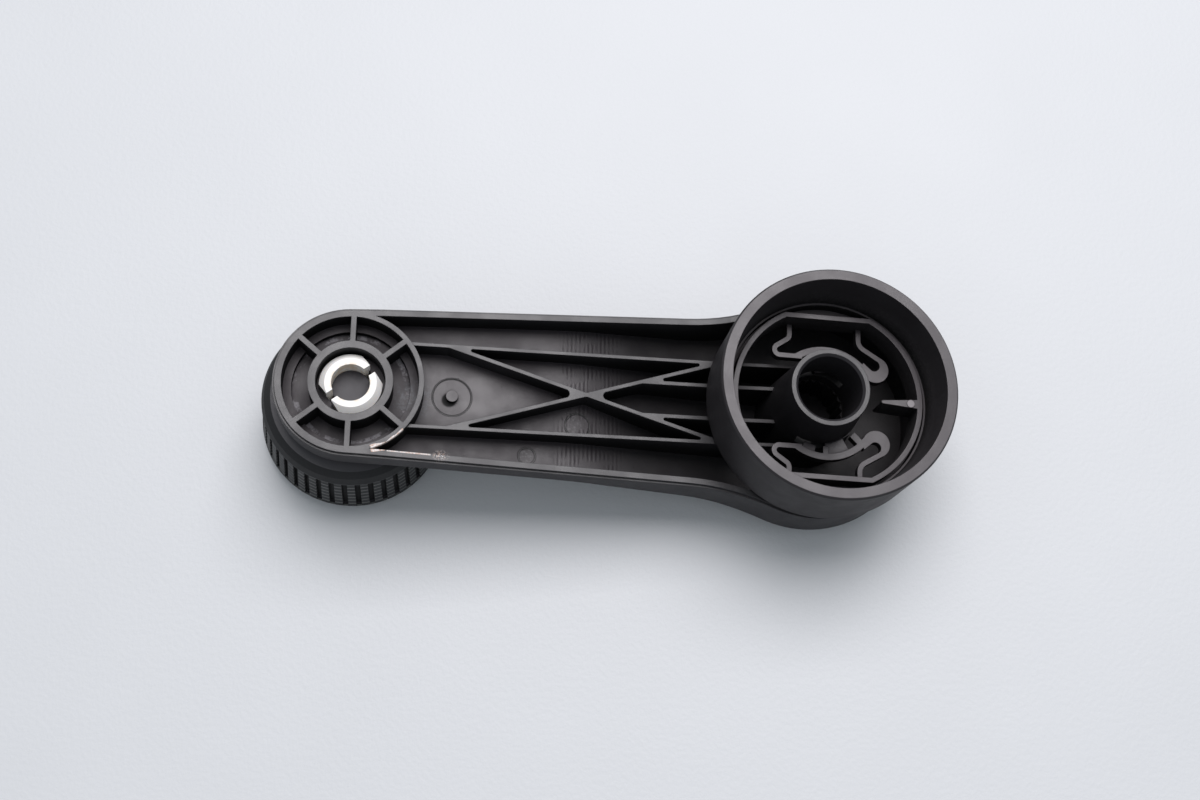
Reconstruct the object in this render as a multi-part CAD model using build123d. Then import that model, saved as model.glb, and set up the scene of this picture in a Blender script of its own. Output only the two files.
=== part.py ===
from build123d import *
from math import acos, atan, atan2, cos, degrees, hypot, radians, sin, sqrt, tan
import os

# Crank handle of a car window, modelled with its ribbed back facing up.
# Frame: the hub's axis is Z, z = 0 is the arm's rim at the knob end, and the knob
# lies towards -X. All sizes are in millimetres.

# ---- Driving dimensions ------------------------------------------------------------

# Arm: plan
crank_radius = 96.0  # hub axis to knob axis
knob_end_radius = 15.45
arm_flare = 0.04  # half-width gained for each millimetre towards the head
head_radius = 24.0
neck_radius = 50.0  # concave arcs between the straight sides and the head
wall = 1.65  # side wall, rim and ledge together
ledge_width = 0.45
ledge_drop = 0.65

# Arm: side view
rim_level_run = 6.0  # the rim is level this far past the knob axis
rim_fall = 3.45  # drop of the rim from the knob end to the head
rim_fall_run = 72.5
shell = 2.4  # thickness of the front shell
knob_end_depth = 8.3  # rim to front at the knob end
bend_depth = 9.9  # front face where the arm starts to dip
head_depth = 17.3  # front face at the head
level_run = 12.0  # the front is level this far past the knob axis
bend_run = 45.0
dip_run = 82.5
front_bend_radius = 60.0
edge_bevel = 2.95  # bevel along the front edge

# Arm: ribs
rib_drop = 0.55  # ribs lie this far under the rim
long_rib_offset = 8.68
long_rib_width = 0.72
truss_start = 19.5  # where the diagonals leave the long ribs, from the knob axis
truss_end = 76.1
truss_width = 0.78
mid_rib_offset = 3.57
crossing_fillet = 0.9
tip_fillet = 0.33

# Arm: wheel round the knob boss
wheel_inner_radius = 13.62
wheel_rib = 1.05
boss_radius = 8.49
spoke_width = 1.1
spoke_angles = (40, 90, 140, 220, 270, 320)
seat_step_width = 1.7
seat_step_height = 1.3

# Arm: ejector mark on the floor
ejector_run = 20.44
ejector_side = -0.61
ejector_radius = 4.0
nub_radius = 1.25
nub_height = 0.9
mark_depth = 0.15

# Hub
hub_height = 9.38
hub_radius = 8.1
hub_draft = 5.15  # degrees
bore_radius = 6.7
bore_bevel = 0.5
spline_top = 6.0  # below z = 0
spline_depth = 0.55
spline_teeth = 24
bore_floor = 0.6  # thickness left above the arm's floor

# Lock ring
ring_offset = 1.05  # play of the ring along the arm
ring_turn = -2.05  # play of the ring about its axis, degrees
ring_gap = 0.75  # rim of the head to the ring's underside
skirt_overhang = 0.25  # skirt beyond the head
skirt_height = 15.83
rim_bevel_width = 0.34
rim_bevel_height = 0.5
rim_face_width = 1.99
skirt_inner_run = 0.9  # the inner face closes in this much down to its ledge
skirt_ledge_height = 4.7  # above the ring's underside
skirt_ledge_width = 0.4
cage_gap = 0.7  # between the skirt and the inner wall
cage_wall = 1.05
cage_height = 6.29
cage_flat = 17.75  # half-distance over the outer flats
web_height = 1.9
spring_height = 1.9
wedge_gap = 0.12  # wedge to the hub when the ring is pushed home
wedge_root = 2.0
wedge_tip = 0.7
wedge_mark_radius = 0.85
wedge_mark_height = 0.12
wedge_mark_run = 1.45
wedge_side = -0.27

# Springs of the lock ring, for the +Y side
band_gap = 0.88  # hub to the arc band
band_width = 1.4
band_shift = (0.6, 0.9)  # centre of the band, from the ring's axis
band_start = 32.0
band_end = 124.0
hook_angle = 34.0
hook_reach = 1.5
hook_radius = 2.9
slot_radius = 1.2
slot_shift = (-0.2, 0.85)
slot_angle = 138.0
slot_length = 4.2
leaf_width = 1.05
right_leaf = (-3.6, 4.95)  # its corner, from the hook's centre
right_leaf_round = 2.3
left_leaf = (-1.7, 3.95)  # its upper corner, from the band's end
left_leaf_round = 1.3
left_loop = 7.4
left_loop_round = 1.16
tooth_angle = 44.6
tooth_width = 1.43
tooth_reach = 2.15
lug_angles = (103.0, 119.0)
lug_reach = 1.5
bar_angle = 90.3
bar_width = 1.1
tongue_neck = (60.0, 90.3)
tongue_head = (42.0, 110.0)
tongue_neck_reach = 2.65
tongue_head_reach = 1.9
tongue_height = 1.2
tongue_gap = 0.1  # tongues to the bore's wall, so that a shaft passes them

# Windows in the hub
window_inner = 4.0  # half-width of the wall that stays between the windows
window_clearance = 0.9
window_lift = 0.4  # above the springs
window_drop = 0.3  # below the springs
release_travel = 3.0

# Knob and axle
grip_top = 12.0  # below z = 0
grip_bottom = 27.5
grip_top_radius = 18.3
grip_bottom_radius = 19.4
lip_height = 0.55
lip_overhang = 0.15
shoulder_radius = 14.5  # where the knob's top starts to round over
shoulder_bulge = 0.75
grip_ribs = 43
groove_width = 1.14
groove_depth = 0.85
groove_end = 1.3  # plain band under the grooves
face_round = 1.2
axle_radius = 5.0
axle_clearance = 0.06
claw_radius = 6.35
claw_top = 1.3  # below z = 0
claw_bevel = 1.15
claw_flat = 5.25
claw_height = 3.25  # tip to the underside of the hook
claw_bore_gap = 0.6
claw_seat_gap = 0.05
axle_hole_radius = 3.88
post_top = 5.2  # below z = 0, end of the knob's post inside the axle
post_clearance = 0.04
axle_slot_width = 1.7
axle_slot_depth = 9.0
axle_slot_angle = 37.2
axle_foot = 20.5  # below z = 0
knob_gap = 0.06  # between the knob's bearing face and the arm
bearing_face_radius = 8.0
bearing_face_height = 0.5

# ---- Places worked out from the driving dimensions ------------------------------

reach = crank_radius + 2 * head_radius  # longer than the part, for cutting slabs
knob_x = -crank_radius
head_rim = -rim_fall
knob_floor = shell - knob_end_depth
head_floor = shell - head_depth

ring_bottom = head_rim + ring_gap
spring_top = ring_bottom + spring_height
tongue_top = ring_bottom + tongue_height
cage_top = ring_bottom + cage_height
skirt_top = ring_bottom + skirt_height
skirt_ledge = ring_bottom + skirt_ledge_height
skirt_radius = head_radius + skirt_overhang
rim_outer_radius = skirt_radius - rim_bevel_width
rim_inner_radius = rim_outer_radius - rim_face_width
ledge_outer_radius = rim_inner_radius - skirt_inner_run
ledge_inner_radius = ledge_outer_radius - skirt_ledge_width
cage_outer_radius = ledge_inner_radius - cage_gap
cage_inner_radius = cage_outer_radius - cage_wall
cage_flat_inner = cage_flat - cage_wall

claw_seat = -claw_top - claw_height - claw_seat_gap
knob_top = -knob_end_depth - knob_gap


def hub_radius_at(z):
    """Outer radius of the drafted hub at a height."""
    return hub_radius + (hub_height - z) * tan(radians(hub_draft))


def polar(radius, angle, centre=(0, 0)):
    """Point at a radius and an angle in degrees about a centre."""
    return (centre[0] + radius * cos(radians(angle)), centre[1] + radius * sin(radians(angle)))


def shifted(point, step):
    """A point moved by a step."""
    return (point[0] + step[0], point[1] + step[1])


# ---- Shared shapes -----------------------------------------------------------------


def prism(plan, low, high):
    """A plan figure made solid between two heights."""
    return Pos(0, 0, low) * extrude(plan, amount=high - low)


def strip(start, end, width):
    """A straight strip between two points of the plan."""
    length = hypot(end[0] - start[0], end[1] - start[1])
    angle = degrees(atan2(end[1] - start[1], end[0] - start[0]))
    middle = ((start[0] + end[0]) / 2, (start[1] + end[1]) / 2)
    return Pos(*middle) * Rot(0, 0, angle) * Rectangle(length, width)


def sector(inner, outer, start, end, centre=(0, 0)):
    """A piece of an annulus between two angles in degrees."""
    middle = (start + end) / 2
    edges = [
        ThreePointArc(polar(outer, start, centre), polar(outer, middle, centre), polar(outer, end, centre)),
        Line(polar(outer, end, centre), polar(inner, end, centre)),
        ThreePointArc(polar(inner, end, centre), polar(inner, middle, centre), polar(inner, start, centre)),
        Line(polar(inner, start, centre), polar(outer, start, centre)),
    ]
    return make_face(edges)


def turned(points):
    """A closed profile of (radius, z) points turned about the Z axis."""
    profile = make_face(Polyline(*points, close=True))
    return revolve(Plane.XZ * profile, axis=Axis.Z)


# ---- Arm ------------------------------------------------------------------------------


def arm_plan(inset):
    """The arm's outline seen from above, moved inwards by inset."""
    knob_r = knob_end_radius - inset
    head_r = head_radius - inset
    neck_r = neck_radius + inset
    flare = atan(arm_flare)
    along = (cos(flare), sin(flare))
    out = (-sin(flare), cos(flare))
    # The neck arc touches the straight side and the head's circle.
    start = (knob_x + (knob_r + neck_r) * out[0], (knob_r + neck_r) * out[1])
    run = start[0] * along[0] + start[1] * along[1]
    step = -run - sqrt(run**2 - hypot(*start) ** 2 + (head_r + neck_r) ** 2)
    neck = (start[0] + step * along[0], start[1] + step * along[1])
    on_knob = (knob_x + knob_r * out[0], knob_r * out[1])
    on_side = (on_knob[0] + step * along[0], on_knob[1] + step * along[1])
    to_head = atan2(-neck[1], -neck[0])
    on_head = (-head_r * cos(to_head), -head_r * sin(to_head))
    to_side = atan2(-out[1], -out[0])
    on_neck = polar(neck_r, degrees((to_head + to_side) / 2), neck)

    def low(point):
        return (point[0], -point[1])

    edges = [
        ThreePointArc(low(on_knob), (knob_x - knob_r, 0), on_knob),
        Line(on_knob, on_side),
        ThreePointArc(on_side, on_neck, on_head),
        ThreePointArc(on_head, (head_r, 0), low(on_head)),
        ThreePointArc(low(on_head), low(on_neck), low(on_side)),
        Line(low(on_side), low(on_knob)),
    ]
    return make_face(edges)


def rim_line(drop):
    """Side view of the rim, lowered by drop."""
    start = knob_x + rim_level_run
    return [(-reach, -drop), (start, -drop), (start + rim_fall_run, head_rim - drop), (reach, head_rim - drop)]


def front_line(lift):
    """Side view of the front face, raised by lift."""
    return [
        (-reach, lift - knob_end_depth),
        (knob_x + level_run, lift - knob_end_depth),
        (knob_x + bend_run, lift - bend_depth),
        (knob_x + dip_run, lift - head_depth),
        (reach, lift - head_depth),
    ]


def side_slab(low, high, low_round=0.0):
    """Everything between two lines of the side view, as wide as the part needs."""
    outline = [
        FilletPolyline(*low, radius=low_round),
        Line(low[-1], high[-1]),
        Polyline(*reversed(high)),
        Line(high[0], low[0]),
    ]
    return extrude(Plane.XZ * make_face(outline), amount=reach, both=True)


def floor_edges(solid):
    """The edges that a solid's lowest faces share with its upright sides."""
    faces = solid.faces()
    low = [face for face in faces if face.normal_at().Z < -0.7]
    upright = [edge for face in faces if abs(face.normal_at().Z) < 0.1 for edge in face.edges()]
    return [edge for face in low for edge in face.edges() if any(edge.is_same(side) for side in upright)]


def arm_block(inset, lift, high):
    """The arm's plan, made solid above the raised front line."""
    depth = head_depth + hub_height
    return prism(arm_plan(inset), -2 * depth, 2 * depth) & side_slab(front_line(lift), high, front_bend_radius)


def truss_plan():
    """Long ribs, crossed diagonals and the two middle ribs, with rounded pocket corners."""
    start = knob_x + truss_start
    end = knob_x + truss_end
    crossing = (start + end) / 2
    slope = 2 * long_rib_offset / (end - start)
    branch = (crossing + mid_rib_offset / slope, mid_rib_offset)
    root = (crossing + branch[0]) / 2, mid_rib_offset / 2
    in_wheel = knob_x + sqrt((wheel_inner_radius + wheel_rib / 2) ** 2 - long_rib_offset**2)
    diagonals = Sketch()
    others = Sketch()
    for side in (1, -1):
        high = side * long_rib_offset
        diagonals += strip((start, high), (end, -high), truss_width)
        others += strip((in_wheel, high), (0, high), long_rib_width)
        fork = [(x, side * y) for x, y in (root, branch, (0, mid_rib_offset))]
        others += trace(Polyline(*fork), truss_width)
    between = Pos(crossing, 0) * Rectangle(2 * crank_radius, 2 * long_rib_offset)
    plan = others + (diagonals & between)
    in_field = [v for v in plan.vertices() if start < v.X < end and abs(v.Y) < long_rib_offset]
    plan = fillet([v for v in in_field if abs(v.X - crossing) < truss_width * 3], crossing_fillet)
    tips = [v for v in plan.vertices() if start < v.X < end and abs(v.Y) < long_rib_offset]
    sharp = [v for v in tips if abs(v.X - crossing) > crossing_fillet / slope * 2]
    return fillet(sharp, tip_fillet)


def wheel_plan():
    """The wheel's rim and spokes round the knob boss."""
    plan = Circle(wheel_inner_radius + wheel_rib) - Circle(wheel_inner_radius)
    for angle in spoke_angles:
        start = polar(boss_radius - spoke_width, angle)
        end = polar(wheel_inner_radius + wheel_rib / 2, angle)
        plan += strip(start, end, spoke_width)
    return Pos(knob_x, 0) * (plan + Circle(boss_radius))


def arm_ribs():
    """All ribs that stand on the floor of the arm, with the wheel and its seat step."""
    sunk = shell / 2
    depth = head_depth + hub_height
    truss = prism(truss_plan(), -depth, depth)
    truss &= side_slab(front_line(sunk), rim_line(rib_drop), front_bend_radius)
    wheel = prism(wheel_plan(), knob_floor - sunk, 0)
    step_plan = Circle(wheel_inner_radius + wheel_rib / 2) - Circle(wheel_inner_radius - seat_step_width)
    step = prism(Pos(knob_x, 0) * step_plan, knob_floor - sunk, knob_floor + seat_step_height)
    return truss + wheel + step


def hub():
    """The tall drafted hub, still without its bore."""
    foot = head_floor - shell / 2
    return turned([(0, foot), (hub_radius_at(foot), foot), (hub_radius, hub_height), (0, hub_height)])


def shaft_bore():
    """The cutter for the bore: bevelled mouth, smooth wall, then serrations."""
    bottom = head_floor + bore_floor
    over = hub_height + bore_bevel
    smooth = turned(
        [
            (0, -spline_top),
            (bore_radius, -spline_top),
            (bore_radius, hub_height - bore_bevel),
            (bore_radius + 2 * bore_bevel, over),
            (0, over),
        ]
    )
    tips = []
    for index in range(2 * spline_teeth):
        radius = bore_radius - spline_depth * (index % 2)
        tips.append(polar(radius, 180 * index / spline_teeth))
    return smooth + prism(make_face(Polyline(*tips, close=True)), bottom, -spline_top)


def hub_windows():
    """The cutter for the windows that the tongues and teeth pass through."""
    band = band_inner_radius()
    left = ring_offset + band_shift[0] + polar(band - tongue_neck_reach, tongue_head[1])[0]
    left -= release_travel + window_clearance
    right = ring_offset + band_shift[0] + polar(band, tooth_angle)[0] + window_clearance
    low = ring_bottom - window_drop
    high = spring_top + window_lift
    outer = hub_radius_at(low) + window_clearance
    window = Pos((left + right) / 2, (window_inner + outer) / 2) * Rectangle(right - left, outer - window_inner)
    return prism(window + mirror(window, about=Plane.XZ), low, high)


def ejector_mark():
    """The round recess on the floor, as a cutter, and the raised nub in its middle."""
    ejector = Pos(knob_x + ejector_run, ejector_side)
    cut = prism(ejector * (Circle(ejector_radius) - Circle(nub_radius)), -head_depth, 0)
    deep = side_slab(front_line(shell - mark_depth), front_line(shell + mark_depth), front_bend_radius)
    nub = prism(ejector * Circle(nub_radius), -head_depth, 0)
    stub = side_slab(front_line(shell / 2), front_line(shell + nub_height), front_bend_radius)
    return cut & deep, nub & stub


def crank_arm():
    """The whole arm as one moulding."""
    sky = [(-reach, reach), (reach, reach)]
    arm = arm_block(0, 0, rim_line(0))
    arm = chamfer(floor_edges(arm), edge_bevel) - arm_block(wall, shell, sky)
    edge_band = prism(arm_plan(0) - arm_plan(ledge_width), -head_depth, hub_height)
    arm -= edge_band & side_slab(rim_line(ledge_drop), sky)
    recess, nub = ejector_mark()
    arm = arm - recess + nub + arm_ribs() + hub()
    arm -= shaft_bore()
    arm -= hub_windows()
    claw_bore = claw_radius + claw_bore_gap
    arm -= Pos(knob_x, 0) * prism(Circle(claw_bore), claw_seat, claw_bore)
    arm -= Pos(knob_x, 0) * prism(Circle(axle_radius + axle_clearance), -2 * knob_end_depth, 0)
    return arm


# ---- Lock ring -----------------------------------------------------------------------


def band_inner_radius():
    """Inner radius of the arc band, clear of the hub."""
    return hub_radius_at(ring_bottom) + band_gap


def cage_plan(radius, flat):
    """A circle with two flats."""
    return Circle(radius) & Rectangle(2 * radius, 2 * flat)


def ring_skirt():
    """The round skirt with its bevelled rim and inner ledge."""
    return turned(
        [
            (cage_outer_radius, ring_bottom),
            (skirt_radius, ring_bottom),
            (skirt_radius, skirt_top - rim_bevel_height),
            (rim_outer_radius, skirt_top),
            (rim_inner_radius, skirt_top),
            (ledge_outer_radius, skirt_ledge),
            (ledge_inner_radius, skirt_ledge),
            (ledge_inner_radius, ring_bottom + web_height),
            (cage_outer_radius, ring_bottom + web_height),
        ]
    )


def ring_cage():
    """The inner wall with two flats, and the web that joins it to the skirt."""
    hollow = cage_plan(cage_inner_radius, cage_flat_inner)
    web = prism(Circle(cage_outer_radius + skirt_ledge_width) - hollow, ring_bottom, ring_bottom + web_height)
    wall_plan = cage_plan(cage_outer_radius, cage_flat) - hollow
    return web + prism(wall_plan, ring_bottom, cage_top)


def ring_wedge():
    """The tapered rib that points at the hub, with the round mark on its top."""
    root = cage_inner_radius + cage_wall / 2
    tip = hub_radius_at(ring_bottom) + release_travel + wedge_gap - ring_offset + wedge_tip / 2
    taper = make_face(
        Polyline(
            (root, wedge_root / 2), (tip, wedge_tip / 2), (tip, -wedge_tip / 2), (root, -wedge_root / 2), close=True
        )
    )
    plan = Pos(0, wedge_side) * (taper + Pos(tip, 0) * Circle(wedge_tip / 2))
    mark = Pos(cage_inner_radius - wedge_mark_run, wedge_side) * Circle(wedge_mark_radius)
    return prism(plan, ring_bottom, cage_top) + prism(mark, ring_bottom, cage_top + wedge_mark_height)


def spring_plan():
    """The spring on the +Y side: arc band, thick hook and two thin leaves."""
    inner = band_inner_radius()
    outer = inner + band_width
    band = sector(inner, outer, band_start, band_end, band_shift)
    hook = polar(outer + hook_reach, hook_angle, band_shift)
    eye = shifted(hook, slot_shift)
    slot_end = polar(slot_length, slot_angle, eye)
    cut = Pos(*eye) * Circle(slot_radius) + strip(eye, slot_end, 2 * slot_radius)
    bend = Pos(*hook) * Circle(hook_radius) - cut
    anchor = cage_flat_inner + cage_wall / 2
    corner = shifted(hook, right_leaf)
    on_hook = polar(hook_radius - leaf_width / 2, degrees(acos(slot_radius / hook_radius)) - 15, hook)
    right = FilletPolyline((corner[0], anchor), corner, on_hook, radius=right_leaf_round)
    band_tip = polar(inner + band_width / 2, band_end, band_shift)
    upper = shifted(band_tip, left_leaf)
    loop = shifted(band_tip, (-left_loop, 0))
    seat = shifted(band_tip, (leaf_width, 0))
    left = FilletPolyline((upper[0], anchor), upper, loop, seat, radius=[left_leaf_round, left_loop_round])
    return band + bend + trace(right, leaf_width) + trace(left, leaf_width)


def spring_catches():
    """Tooth and bar at spring height, and the tongue and lug under them, for the +Y side."""
    inner = band_inner_radius()
    seat = inner + band_width / 2
    catches = Sketch()
    for angle, width, depth in ((tooth_angle, tooth_width, tooth_reach), (bar_angle, bar_width, lug_reach)):
        catches += strip(polar(inner - depth, angle, band_shift), polar(seat, angle, band_shift), width)
    neck = inner - tongue_neck_reach
    tongue = sector(neck, seat, *tongue_neck, band_shift)
    tongue += sector(neck - tongue_head_reach, neck, *tongue_head, band_shift)
    tongue += sector(inner - lug_reach, seat, *lug_angles, band_shift)
    return prism(catches, ring_bottom, spring_top) + prism(tongue, ring_bottom, tongue_top)


def lock_ring():
    """The whole ring as one moulding, where its play lets it rest."""
    spring = prism(spring_plan(), ring_bottom, spring_top) + spring_catches()
    ring = ring_skirt() + ring_cage() + ring_wedge() + spring + mirror(spring, about=Plane.XZ)
    ring = Pos(ring_offset, 0, 0) * Rot(0, 0, ring_turn) * ring
    # The bore's path through the ring, at rest and all along its travel.
    shaft_room = SlotCenterToCenter(release_travel, 2 * (bore_radius + tongue_gap))
    return ring - prism(Pos(release_travel / 2, 0) * shaft_room, ring_bottom, spring_top)


# ---- Knob and axle -----------------------------------------------------------------


def grip_radius_at(z):
    """Outer radius of the tapered grip at a height."""
    share = (-grip_top - z) / (grip_bottom - grip_top)
    return grip_top_radius + share * (grip_bottom_radius - grip_top_radius)


def bulged(start, end, bulge, steps=3):
    """Points of a shallow curve between two points, which are left out."""
    points = []
    for index in range(1, steps):
        share = index / steps
        rise = 4 * bulge * share * (1 - share)
        points.append((start[0] + share * (end[0] - start[0]) + rise, start[1] + share * (end[1] - start[1]) + rise))
    return points


def grip_body():
    """The turned grip with its shoulder and lip; its two rounds are turned as short cones."""
    lip_radius = grip_top_radius + lip_overhang
    plateau = knob_top - bearing_face_height
    rim = (shoulder_radius, plateau)
    lip = (lip_radius, -grip_top)
    lip_foot = -grip_top - lip_height
    corner = (grip_bottom_radius - face_round, face_round - grip_bottom)
    outline = [(0, knob_top), (bearing_face_radius, knob_top), (bearing_face_radius, plateau), rim]
    outline += bulged(rim, lip, shoulder_bulge)
    outline += [lip, (lip_radius, lip_foot), (grip_radius_at(lip_foot), lip_foot)]
    outline += [polar(face_round, angle, corner) for angle in (0, -45, -90)]
    return turned(outline + [(0, -grip_bottom)])


def knob():
    """The grip, cut into ribs, with the seat of the axle round its post."""
    groove_top = -grip_top - lip_height
    groove_bottom = groove_end - grip_bottom
    past = grip_bottom_radius + groove_depth
    groove = make_face(
        Polyline(
            (grip_radius_at(groove_top) - groove_depth, groove_top),
            (past, groove_top),
            (past, groove_bottom),
            (grip_radius_at(groove_bottom) - groove_depth, groove_bottom),
            close=True,
        )
    )
    cutter = extrude(Plane.XZ * groove, amount=groove_width / 2, both=True)
    body = grip_body() - [Rot(0, 0, 360 * index / grip_ribs) * cutter for index in range(grip_ribs)]
    body -= prism(Circle(axle_radius), -axle_foot, 0)
    return Pos(knob_x, 0) * (body + prism(Circle(axle_hole_radius - post_clearance), -axle_foot, -post_top))


def knob_axle():
    """The split axle, a sleeve on the knob's post: its running length in the boss, and two claws."""
    tip = -claw_top
    hook = claw_seat + claw_seat_gap
    claws = turned(
        [
            (0, hook),
            (claw_radius, hook),
            (claw_radius, tip - claw_bevel),
            (claw_radius - claw_bevel, tip),
            (0, tip),
        ]
    )
    claws &= prism(Rot(0, 0, axle_slot_angle) * Rectangle(2 * claw_flat, 2 * claw_radius), hook, tip)
    axle = claws + prism(Circle(axle_radius), -axle_foot, hook)
    axle -= prism(Circle(axle_hole_radius), -axle_foot, tip)
    slot = Rot(0, 0, axle_slot_angle) * Rectangle(3 * claw_radius, axle_slot_width)
    axle -= prism(slot, tip - axle_slot_depth, tip)
    return Pos(knob_x, 0) * axle


# ---- Files ---------------------------------------------------------------------------

nodes = {"crank_arm": crank_arm(), "lock_ring": lock_ring(), "knob": knob(), "knob_axle": knob_axle()}
os.makedirs("parts", exist_ok=True)
for name, solid in nodes.items():
    export_step(solid, f"parts/{name}.step")
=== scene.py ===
from math import atan, pi, radians

import bpy
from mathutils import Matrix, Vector


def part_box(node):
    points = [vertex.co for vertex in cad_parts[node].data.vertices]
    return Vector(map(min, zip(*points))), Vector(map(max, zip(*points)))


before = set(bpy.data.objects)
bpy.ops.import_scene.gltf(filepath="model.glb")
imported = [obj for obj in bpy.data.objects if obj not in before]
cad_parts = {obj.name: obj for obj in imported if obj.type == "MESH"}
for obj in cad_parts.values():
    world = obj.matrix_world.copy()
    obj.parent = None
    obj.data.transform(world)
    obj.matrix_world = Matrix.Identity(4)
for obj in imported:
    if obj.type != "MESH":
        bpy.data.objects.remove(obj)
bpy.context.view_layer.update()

MM = 0.001

KNOB_LOW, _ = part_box("knob")
RING_LOW, RING_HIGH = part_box("lock_ring")
AXLE_LOW, AXLE_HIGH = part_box("knob_axle")
KNOB_AXIS = (AXLE_LOW + AXLE_HIGH) / 2
RING_AXIS = (RING_LOW + RING_HIGH) / 2


def on_arm(x, y):
    """A plan point given in millimetres from the knob's axis."""
    return KNOB_AXIS.x + x * MM, y * MM


# Marks on the arm's floor: the ejector's circle and nub, and round inserts as x, y and radius.
EJECTOR = on_arm(20.44, -0.61)
EJECTOR_RADIUS = 4.0 * MM
NUB_RADIUS = 1.2 * MM
# Painted shade: the centre and the fade of a dark patch off the nub's lower left.
NUB_SHADE_CENTRE = (EJECTOR[0] - 0.6 * MM, EJECTOR[1] - 0.6 * MM)
NUB_SHADE_FADE = (1.2 * MM, 1.7 * MM)
INSERTS = [(*on_arm(46.56, -5.16), 2.6 * MM), (*on_arm(36.1, -12.3), 1.75 * MM)]
MARK_WIDTH = 0.12 * MM

# The smear's strokes and the scratch, as start, end and half-width, and the crumbs beyond them.
SMEAR = [
    (on_arm(5.3, -13.8), on_arm(8.7, -13.1), 1.05 * MM),
    (on_arm(7.9, -13.0), on_arm(9.3, -11.6), 0.75 * MM),
    (on_arm(9.2, -11.5), on_arm(10.8, -9.8), 0.30 * MM),
]
SCRATCH = (on_arm(8.0, -14.2), on_arm(16.4, -14.6), 0.22 * MM)
CRUMBS = on_arm(18.5, -13.9)
CRUMBS_FADE = (0.6 * MM, 2.4 * MM)

# A painted highlight along the wheel's step, dust in one of its pockets, and the pale mark on the ring's
# wedge.
STEP_RADIUS = 11.35 * MM
STEP_WIDTH = 0.35 * MM
DUSTY_POCKET = on_arm(12.6, -1.5)
POCKET_FADE = (1.0 * MM, 6.0 * MM)
WEDGE_MARK = (RING_AXIS.x + 17.4 * MM, -0.89 * MM)
WEDGE_MARK_FADE = (0.70 * MM, 0.85 * MM)

# Heights, lengths and radii over which a look fades in.
FLOOR_FADE = (-3.5 * MM, -4.5 * MM)
RIM_FADE = (-1.3 * MM, -0.3 * MM)
HEAD_FADE = (-52 * MM, -34 * MM)
TOOL_LINES = (-53 * MM, -41 * MM)
TOOL_PITCH = 0.9 * MM
RING_INSIDE = (22.4 * MM, 21.9 * MM)
RING_DUST = (1.0 * MM, 6.5 * MM)
AXLE_INSIDE = (3.7 * MM, 4.7 * MM)

# The grip's ribs: where they start and end, their radius at the top and how it grows downwards.
RIB_TOP = -12.55 * MM
RIB_END = -26.2 * MM
RIB_RADIUS = 18.34 * MM
RIB_TAPER = 0.071
RIB_FACE = (-0.45 * MM, -0.25 * MM)  # depth under the ribs' surface over which the ridges fade in
RIDGES = 7
RIDGE_DEPTH = 0.28 * MM

# Every dark plastic: how far painted shade reaches into its pockets, its rounded edges, its grain and its
# shine.
POCKET_REACH = 9 * MM
EDGE_ROUND = 0.16 * MM
GRAIN = 0.16 * MM
SHINE_ON_WALLS = 0.30
SHINE_ON_TOP = 0.66

# Colours, as linear red, green and blue. A pair is a darker and a lighter shade.
ARM_PLASTIC = (0.016, 0.015, 0.017), (0.026, 0.024, 0.027)
RING_PLASTIC = (0.018, 0.016, 0.018), (0.030, 0.027, 0.029)
KNOB_PLASTIC = (0.010, 0.0105, 0.011), (0.018, 0.019, 0.020)
AXLE_PLASTIC = (0.86, 0.84, 0.80), (0.93, 0.92, 0.90)
FLOOR_STREAKS = (0.016, 0.011, 0.014), (0.030, 0.021, 0.027)
TABLE = (0.625, 0.64, 0.655), (0.665, 0.68, 0.695)
SMEAR_TINTS = (0.78, 0.74, 0.72), (0.52, 0.34, 0.25)
DUST = (0.34, 0.33, 0.32)
RING_FILM = (0.20, 0.19, 0.19)
POCKET_FILM = (0.13, 0.15, 0.17)
# Painted highlight along the wheel's step.
STEP_HIGHLIGHT = (0.26, 0.25, 0.27)
# Painted light on the ring's faces that face up.
RING_TOP_LIGHT = (0.060, 0.050, 0.056)
RUBBED_WEDGE = (0.26, 0.24, 0.25)
WORN_INSERT = (0.085, 0.080, 0.085)
# Painted light on the knob's faces that face up, painted highlights on the ridges' ledges and painted
# shade under the ridges.
KNOB_TOP_LIGHT = (0.050, 0.047, 0.054)
RIDGE_HIGHLIGHT = (0.150, 0.152, 0.148)
RIDGE_SHADE = (0.002, 0.002, 0.002)
# Painted shade on the floor towards the head.
HEAD_SHADE = (0.005, 0.004, 0.005)
MARK_LINE = (0.003, 0.003, 0.003)
# Painted shade beside the nub.
NUB_SHADE = (0.001, 0.001, 0.001)
# A warm tint in patches towards the axle's bore.
BORE_TINT = (0.66, 0.50, 0.30)

# Light and camera.
SOFTBOX_PLACE = (-0.04, 0.41, 0.92)
SOFTBOX_AIM = (-0.04, 0, 0)
SOFTBOX_SIZE = (0.80, 0.68)
SOFTBOX_POWER = 9.6
SOFTBOX_COLOUR = (1.0, 0.970, 0.99)
SKY_COLOUR = (0.88, 0.94, 1.0)
SKY_STRENGTH = 0.47
CAMERA_PLACE = (-0.08125, -0.09421, 0.28451)
CAMERA_TURN = (17.818, -7.214, 0.306)  # degrees
SENSOR_WIDTH = 36.0
LENS = 44.45


# ---- Node helpers ------------------------------------------------------------------


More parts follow.
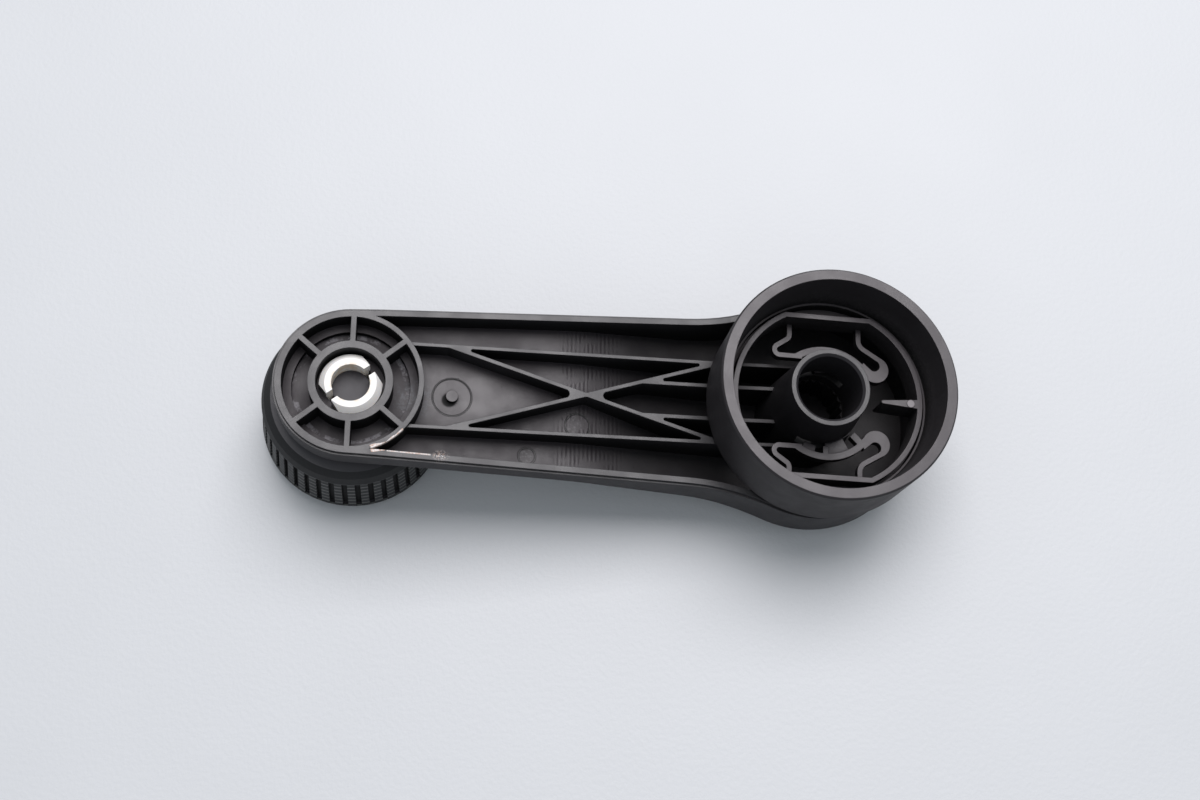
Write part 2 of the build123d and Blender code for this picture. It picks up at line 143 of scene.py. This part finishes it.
class Shader:
    """A material under construction, with short calls for the nodes it needs."""

    def __init__(self, name):
        self.material = bpy.data.materials.new(name)
        self.material.use_nodes = True
        self.tree = self.material.node_tree
        self.tree.nodes.clear()
        self.out = self.tree.nodes.new("ShaderNodeOutputMaterial")
        self.surface = self.tree.nodes.new("ShaderNodeBsdfPrincipled")
        self.link(self.surface.outputs["BSDF"], self.out.inputs["Surface"])
        self.place = self.tree.nodes.new("ShaderNodeTexCoord").outputs["Object"]

    def link(self, source, target):
        self.tree.links.new(source, target)

    def put(self, socket, value):
        """Links a socket's value, or sets a plain one."""
        if isinstance(value, bpy.types.NodeSocket):
            self.link(value, socket)
        else:
            socket.default_value = value

    def math(self, operation, first, second=0.0):
        node = self.tree.nodes.new("ShaderNodeMath")
        node.operation = operation
        self.put(node.inputs[0], first)
        self.put(node.inputs[1], second)
        return node.outputs[0]

    def plus(self, first, second):
        return self.math("ADD", first, second)

    def minus(self, first, second):
        return self.math("SUBTRACT", first, second)

    def times(self, *values):
        result = values[0]
        for value in values[1:]:
            result = self.math("MULTIPLY", result, value)
        return result

    def most(self, *values):
        result = values[0]
        for value in values[1:]:
            result = self.math("MAXIMUM", result, value)
        return result

    def ramp(self, value, start, end, low=0.0, high=1.0):
        """Maps start..end smoothly to low..high."""
        node = self.tree.nodes.new("ShaderNodeMapRange")
        node.interpolation_type = "SMOOTHSTEP"
        self.put(node.inputs["Value"], value)
        flip = start > end
        node.inputs["From Min"].default_value = end if flip else start
        node.inputs["From Max"].default_value = start if flip else end
        node.inputs["To Min"].default_value = high if flip else low
        node.inputs["To Max"].default_value = low if flip else high
        return node.outputs["Result"]

    def band(self, value, low, high, soft):
        """1 where a value lies between two limits."""
        return self.times(self.ramp(value, low - soft, low), self.ramp(value, high + soft, high))

    def noise(self, size, detail=3.0, roughness=0.55):
        """Noise whose features are about size metres wide."""
        node = self.tree.nodes.new("ShaderNodeTexNoise")
        self.link(self.place, node.inputs["Vector"])
        node.inputs["Scale"].default_value = 1.0 / size
        node.inputs["Detail"].default_value = detail
        node.inputs["Roughness"].default_value = roughness
        return node.outputs["Fac"]

    def patches(self, size, start, end, detail=3.0, roughness=0.55):
        """Patches about size metres wide: 0 where the noise is under start, 1 over end."""
        return self.ramp(self.noise(size, detail, roughness), start, end)

    def warped(self, size, amount):
        """The object's coordinates, wobbled by noise."""
        node = self.tree.nodes.new("ShaderNodeTexNoise")
        self.link(self.place, node.inputs["Vector"])
        node.inputs["Scale"].default_value = 1.0 / size
        shift = self.tree.nodes.new("ShaderNodeVectorMath")
        shift.operation = "MULTIPLY_ADD"
        self.link(node.outputs["Color"], shift.inputs[0])
        shift.inputs[1].default_value = (amount, amount, amount)
        self.link(self.place, shift.inputs[2])
        return shift.outputs[0]

    def specks(self, spacing, size):
        """1 inside sparse round specks, 0 outside."""
        node = self.tree.nodes.new("ShaderNodeTexVoronoi")
        node.inputs["Scale"].default_value = 1.0 / spacing
        self.link(self.place, node.inputs["Vector"])
        return self.ramp(node.outputs["Distance"], size / spacing, 0.55 * size / spacing)

    def pebbles(self, size, place):
        """Soft round cells about size metres wide, 0 at their middles."""
        node = self.tree.nodes.new("ShaderNodeTexVoronoi")
        node.feature = "SMOOTH_F1"
        node.inputs["Scale"].default_value = 1.0 / size
        self.link(place, node.inputs["Vector"])
        return node.outputs["Distance"]

    def coordinate(self, index):
        node = self.tree.nodes.new("ShaderNodeSeparateXYZ")
        self.link(self.place, node.inputs[0])
        return node.outputs[index]

    def facing_up(self):
        """1 where the surface faces the part's back, 0 on its walls."""
        geometry = self.tree.nodes.new("ShaderNodeNewGeometry")
        turn = self.tree.nodes.new("ShaderNodeVectorTransform")
        turn.vector_type = "NORMAL"
        turn.convert_from = "WORLD"
        turn.convert_to = "OBJECT"
        self.link(geometry.outputs["True Normal"], turn.inputs[0])
        split = self.tree.nodes.new("ShaderNodeSeparateXYZ")
        self.link(turn.outputs[0], split.inputs[0])
        return self.ramp(split.outputs[2], 0.75, 0.95)

    def distance_to(self, x, y):
        """Distance from an upright axis."""
        dx = self.minus(self.coordinate(0), x)
        dy = self.minus(self.coordinate(1), y)
        return self.math("SQRT", self.plus(self.times(dx, dx), self.times(dy, dy)))

    def around(self, x, y, start, end):
        """1 near an upright axis, falling to 0 between two distances from it."""
        return self.ramp(self.distance_to(x, y), end, start)

    def circle_line(self, x, y, radius, width):
        """1 on a thin circle round an upright axis."""
        return self.band(self.distance_to(x, y), radius - width, radius + width, width)

    def along(self, start, end, width):
        """1 on a thin straight mark between two points of the plan."""
        run = Vector(end) - Vector(start)
        dx = self.minus(self.coordinate(0), start[0])
        dy = self.minus(self.coordinate(1), start[1])
        unit = run.normalized()
        forward = self.plus(self.times(dx, unit.x), self.times(dy, unit.y))
        aside = self.math("ABSOLUTE", self.minus(self.times(dx, unit.y), self.times(dy, unit.x)))
        return self.times(self.ramp(aside, width, 0.5 * width), self.band(forward, 0.0, run.length, width))

    def openness(self, distance):
        """1 on open surfaces, falling towards 0 deep inside pockets."""
        node = self.tree.nodes.new("ShaderNodeAmbientOcclusion")
        node.samples = 8
        node.inputs["Distance"].default_value = distance
        return node.outputs["AO"]

    def soft_edges(self, radius):
        """Normals that round the sharp edges over a small radius."""
        node = self.tree.nodes.new("ShaderNodeBevel")
        node.samples = 6
        node.inputs["Radius"].default_value = radius
        return node.outputs["Normal"]

    def mix(self, share, first, second):
        """The first colour, turning into the second as the share goes from 0 to 1."""
        node = self.tree.nodes.new("ShaderNodeMix")
        node.data_type = "RGBA"
        self.put(node.inputs[0], share)
        for socket, colour in ((node.inputs[6], first), (node.inputs[7], second)):
            self.put(socket, colour if isinstance(colour, bpy.types.NodeSocket) else (*colour, 1.0))
        return node.outputs[2]

    def bump(self, height, distance, strength=1.0, normal=None):
        node = self.tree.nodes.new("ShaderNodeBump")
        node.inputs["Distance"].default_value = distance
        node.inputs["Strength"].default_value = strength
        self.put(node.inputs["Height"], height)
        if normal:
            self.link(normal, node.inputs["Normal"])
        return node.outputs["Normal"]

    def finish(self, colour, roughness, normal):
        """Puts the finished look on the surface and gives the material."""
        self.put(self.surface.inputs["Base Color"], colour)
        self.put(self.surface.inputs["Roughness"], roughness)
        self.put(self.surface.inputs["Normal"], normal)
        return self.material


# ---- Materials ---------------------------------------------------------------------


def moulded_plastic(name, shades, roughness):
    """Dark moulded plastic: fine grain, cloudy sheen, painted shade deep in its pockets and dust on what
    faces up.
    """
    shader = Shader(name)
    cloud = shader.noise(6 * MM, 4.0)
    fine = shader.noise(GRAIN, 2.0, 0.7)
    up = shader.facing_up()
    pocket_shade = shader.ramp(shader.openness(POCKET_REACH), 0.80, 0.30)
    colour = shader.mix(cloud, *shades)
    # Painted shade: the deeper inside a pocket, the darker the colour.
    colour = shader.mix(pocket_shade, colour, tuple(0.25 * c for c in shades[0]))
    dust = shader.times(shader.specks(1.7 * MM, 0.13 * MM), up, shader.patches(9 * MM, 0.46, 0.60))
    colour = shader.mix(shader.times(dust, 0.6), colour, DUST)
    # Dust, deep pockets and upright walls are duller.
    sheen = shader.plus(shader.ramp(cloud, 0.3, 0.7, roughness - 0.05, roughness + 0.07), dust)
    sheen = shader.plus(sheen, shader.times(pocket_shade, 0.25))
    sheen = shader.plus(sheen, shader.times(shader.minus(1.0, up), 0.22))
    normal = shader.bump(fine, 0.04 * MM, 0.55, shader.soft_edges(EDGE_ROUND))
    normal = shader.bump(cloud, 0.12 * MM, 0.25, normal)
    shine = shader.ramp(up, 0.0, 1.0, SHINE_ON_WALLS, SHINE_ON_TOP)
    shader.put(shader.surface.inputs["Specular IOR Level"], shine)
    return shader, colour, sheen, normal, up


def arm_material():
    """The arm: satin rims, a streaked floor with its marks, and the pale smear by the wheel."""
    shader, colour, roughness, normal, up = moulded_plastic("arm_plastic", ARM_PLASTIC, 0.36)
    # Floor: mauve streaks, and faint tool lines across its middle.
    floor = shader.times(shader.ramp(shader.coordinate(2), *FLOOR_FADE), up)
    floor_colour = shader.mix(shader.noise(1.2 * MM, 4.0, 0.7), *FLOOR_STREAKS)
    colour = shader.mix(shader.times(floor, 0.85), colour, floor_colour)
    lines = shader.math("SINE", shader.times(shader.coordinate(0), 2 * pi / TOOL_PITCH))
    tool = shader.times(floor, shader.band(shader.coordinate(0), *TOOL_LINES, 2 * MM))
    tool = shader.times(tool, shader.patches(3 * MM, 0.40, 0.60))
    normal = shader.bump(shader.times(lines, tool), 0.05 * MM, 0.6, normal)
    # Painted shade: a dark patch off the nub's lower left side stands for the shade in the hollow round
    # it.
    painted_nub_shade = shader.around(*NUB_SHADE_CENTRE, *NUB_SHADE_FADE)
    beside = shader.ramp(shader.distance_to(*EJECTOR), NUB_RADIUS, NUB_RADIUS + 0.1 * MM)
    painted_nub_shade = shader.times(painted_nub_shade, floor, beside)
    colour = shader.mix(painted_nub_shade, colour, NUB_SHADE)
    roughness = shader.plus(roughness, shader.times(painted_nub_shade, 0.4))
    # Painted highlight: a pale broken line along the edge of the wheel's stepped floor. One pocket holds a
    # film of dust.
    step_glint = shader.circle_line(KNOB_AXIS.x, KNOB_AXIS.y, STEP_RADIUS, STEP_WIDTH)
    step_glint = shader.times(step_glint, floor, shader.patches(2.5 * MM, 0.45, 0.62, 4.0, 0.7))
    colour = shader.mix(shader.times(step_glint, 0.7), colour, STEP_HIGHLIGHT)
    film = shader.times(shader.around(*DUSTY_POCKET, *POCKET_FADE), floor)
    film = shader.times(film, shader.patches(0.8 * MM, 0.42, 0.70, 5.0, 0.75))
    colour = shader.mix(shader.times(film, 0.45), colour, POCKET_FILM)
    # Painted shade: towards the head the floor is darker, and it is duller.
    far = shader.times(floor, shader.ramp(shader.coordinate(0), *HEAD_FADE))
    colour = shader.mix(shader.times(far, 0.8), colour, HEAD_SHADE)
    roughness = shader.plus(roughness, shader.times(far, 0.25))
    # Fine circles show where the ejector and the tool's inserts met the floor.
    circles = [(*EJECTOR, EJECTOR_RADIUS), *INSERTS]
    marks = shader.most(*(shader.circle_line(*circle, MARK_WIDTH) for circle in circles))
    marks = shader.times(marks, floor)
    worn = shader.most(*(shader.around(x, y, 0.8 * radius, radius) for x, y, radius in INSERTS))
    mottle = shader.times(worn, floor, shader.patches(0.7 * MM, 0.50, 0.62, 4.0, 0.7))
    colour = shader.mix(shader.times(mottle, 0.7), colour, WORN_INSERT)
    colour = shader.mix(shader.times(marks, 0.9), colour, MARK_LINE)
    normal = shader.bump(shader.math("MULTIPLY", marks, -1.0), 0.15 * MM, 0.6, normal)
    # Wear on the rims: a ragged smear where the wheel meets the lower wall, a scratch and crumbs.
    crumbs = shader.noise(0.45 * MM, 5.0, 0.75)
    smear = shader.most(*(shader.along(*stroke) for stroke in SMEAR))
    ragged = shader.times(shader.minus(crumbs, 0.5), 1.6)
    smear = shader.ramp(shader.plus(smear, ragged), 0.35, 0.55)
    scratch = shader.times(shader.along(*SCRATCH), shader.ramp(crumbs, 0.30, 0.45))
    crumb_field = shader.around(*CRUMBS, *CRUMBS_FADE)
    specks = shader.times(shader.patches(0.30 * MM, 0.50, 0.57), crumb_field)
    on_rims = shader.ramp(shader.coordinate(2), *RIM_FADE)
    pale = shader.times(shader.most(smear, scratch), on_rims)
    pale = shader.most(pale, shader.times(specks, 0.8))
    tint = shader.mix(shader.ramp(crumbs, 0.45, 0.6), *SMEAR_TINTS)
    colour = shader.mix(pale, colour, tint)
    roughness = shader.plus(roughness, shader.times(pale, 0.3))
    return shader.finish(colour, roughness, normal)


def ring_material():
    """The lock ring: a dusty inner wall, and painted mauve light on the faces that face up."""
    shader, colour, roughness, normal, up = moulded_plastic("ring_plastic", RING_PLASTIC, 0.36)
    inner = shader.ramp(shader.distance_to(RING_AXIS.x, RING_AXIS.y), *RING_INSIDE)
    dusty = shader.times(inner, shader.band(shader.coordinate(2), *RING_DUST, 1.5 * MM))
    film = shader.times(dusty, shader.patches(0.35 * MM, 0.45, 0.75, 4.0, 0.8))
    colour = shader.mix(shader.times(film, 0.25), colour, RING_FILM)
    # Painted light: what faces up is lighter and mauve. The wedge carries a paler round mark.
    colour = shader.mix(shader.times(up, 0.7), colour, RING_TOP_LIGHT)
    mark = shader.times(up, shader.around(*WEDGE_MARK, *WEDGE_MARK_FADE))
    colour = shader.mix(shader.times(mark, 0.8), colour, RUBBED_WEDGE)
    return shader.finish(colour, roughness, normal)


def knob_material():
    """The grip: near black and matte, painted light on what faces up, each rib stepped by small ridges
    with painted highlights on their ledges and painted shade under them.
    """
    shader, colour, roughness, normal, up = moulded_plastic("knob_plastic", KNOB_PLASTIC, 0.42)
    # Painted light: what faces up is lighter.
    colour = shader.mix(shader.times(up, 0.8), colour, KNOB_TOP_LIGHT)
    height = shader.coordinate(2)
    growth = shader.times(shader.minus(height, RIB_TOP), RIB_TAPER)
    rib_surface = shader.minus(RIB_RADIUS, growth)
    depth = shader.minus(shader.distance_to(KNOB_AXIS.x, KNOB_AXIS.y), rib_surface)
    on_rib = shader.times(
        shader.ramp(depth, *RIB_FACE), shader.band(height, RIB_END, RIB_TOP, 0.05 * MM)
    )
    # Each ridge stands out at its top and falls back towards the next, with a painted highlight on its
    # ledge and painted shade beneath.
    fall = shader.times(shader.minus(RIB_TOP, height), RIDGES / (RIB_TOP - RIB_END))
    step = shader.math("FRACT", fall)
    saw = shader.minus(1.0, step)
    ledge_highlight = shader.times(on_rib, shader.ramp(step, 0.34, 0.10))
    colour = shader.mix(ledge_highlight, colour, RIDGE_HIGHLIGHT)
    # Painted shade under each ridge.
    under_shade = shader.times(on_rib, shader.ramp(step, 0.72, 0.98))
    colour = shader.mix(shader.times(under_shade, 0.8), colour, RIDGE_SHADE)
    normal = shader.bump(shader.times(saw, on_rib), RIDGE_DEPTH, 0.8, normal)
    return shader.finish(colour, roughness, normal)


def axle_material():
    """The axle: cloudy white plastic, tinted warm in patches towards its bore."""
    shader = Shader("axle_plastic")
    cloud = shader.noise(2 * MM, 4.0)
    colour = shader.mix(cloud, *AXLE_PLASTIC)
    roughness = shader.ramp(cloud, 0.3, 0.7, 0.30, 0.42)
    inner = shader.around(KNOB_AXIS.x, KNOB_AXIS.y, *AXLE_INSIDE)
    # Warmer in patches towards the bore.
    warm_patches = shader.times(inner, shader.patches(1.8 * MM, 0.40, 0.60))
    colour = shader.mix(shader.times(warm_patches, 0.6), colour, BORE_TINT)
    normal = shader.bump(shader.noise(0.4 * MM, 2.0), 0.02 * MM, 0.3)
    shader.surface.inputs["Subsurface Weight"].default_value = 0.15
    shader.surface.inputs["Subsurface Radius"].default_value = (1.2 * MM, 1.0 * MM, 0.8 * MM)
    return shader.finish(colour, roughness, normal)


def table_material():
    """The table: pale and matte, with a soft leather-like grain in patches."""
    shader = Shader("floor_paint")
    colour = shader.mix(shader.noise(50 * MM, 3.0), *TABLE)
    pebbles = shader.pebbles(2.6 * MM, shader.warped(4 * MM, 1.2 * MM))
    patches = shader.ramp(shader.noise(90 * MM), 0.35, 0.65, 0.25, 0.70)
    normal = shader.bump(shader.times(pebbles, patches), 2.2 * MM, -0.8)
    normal = shader.bump(shader.noise(1.1 * MM, 3.0), 0.3 * MM, 0.25, normal)
    return shader.finish(colour, 0.50, normal)


def dress(node, material):
    """Gives a CAD node its material."""
    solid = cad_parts[node]
    solid.data.materials.clear()
    solid.data.materials.append(material)


# ---- Studio ------------------------------------------------------------------------


def floor_slope():
    """Where the knob's face ends, and the slope from there to the lowest point of the head."""
    edge = max((v.co.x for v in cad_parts["knob"].data.vertices if v.co.z < KNOB_LOW.z + 0.01 * MM))
    corners = [v.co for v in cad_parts["crank_arm"].data.vertices if v.co.x > edge + 10 * MM]
    slope = min((c.z - KNOB_LOW.z) / (c.x - edge) for c in corners)
    return edge, slope


def build_floor():
    """A plain pale floor under the resting part, which stands on its knob and its head."""
    edge, slope = floor_slope()
    bpy.ops.mesh.primitive_plane_add(size=6.0)
    floor = bpy.context.object
    floor.name = "floor"
    floor.location = (edge, 0, KNOB_LOW.z - 0.05 * MM)
    floor.rotation_euler = (0, -atan(slope), 0)
    floor.data.materials.append(table_material())


def light_the_part():
    """One large softbox beyond the part, and an even pale sky."""
    light = bpy.data.lights.new("window_light", "AREA")
    light.shape = "RECTANGLE"
    light.size, light.size_y = SOFTBOX_SIZE
    light.energy = SOFTBOX_POWER
    light.color = SOFTBOX_COLOUR
    lamp = bpy.data.objects.new("window_light", light)
    lamp.location = SOFTBOX_PLACE
    aim = Vector(SOFTBOX_AIM) - Vector(SOFTBOX_PLACE)
    lamp.rotation_euler = aim.to_track_quat("-Z", "Y").to_euler()
    bpy.context.scene.collection.objects.link(lamp)
    world = bpy.data.worlds.new("studio")
    world.use_nodes = True
    background = world.node_tree.nodes["Background"]
    background.inputs["Color"].default_value = (*SKY_COLOUR, 1.0)
    background.inputs["Strength"].default_value = SKY_STRENGTH
    bpy.context.scene.world = world


def place_camera():
    """The camera looks down at the ribbed back, from the knob's side and a little below."""
    data = bpy.data.cameras.new("camera")
    data.sensor_width = SENSOR_WIDTH
    data.lens = LENS
    data.clip_start = 0.01
    camera = bpy.data.objects.new("camera", data)
    camera.location = CAMERA_PLACE
    camera.rotation_euler = [radians(angle) for angle in CAMERA_TURN]
    bpy.context.scene.collection.objects.link(camera)
    bpy.context.scene.camera = camera


# ---- Scene -------------------------------------------------------------------------

bpy.context.scene.view_settings.view_transform = "Standard"
dress("crank_arm", arm_material())
dress("lock_ring", ring_material())
dress("knob", knob_material())
dress("knob_axle", axle_material())
build_floor()
light_the_part()
place_camera()
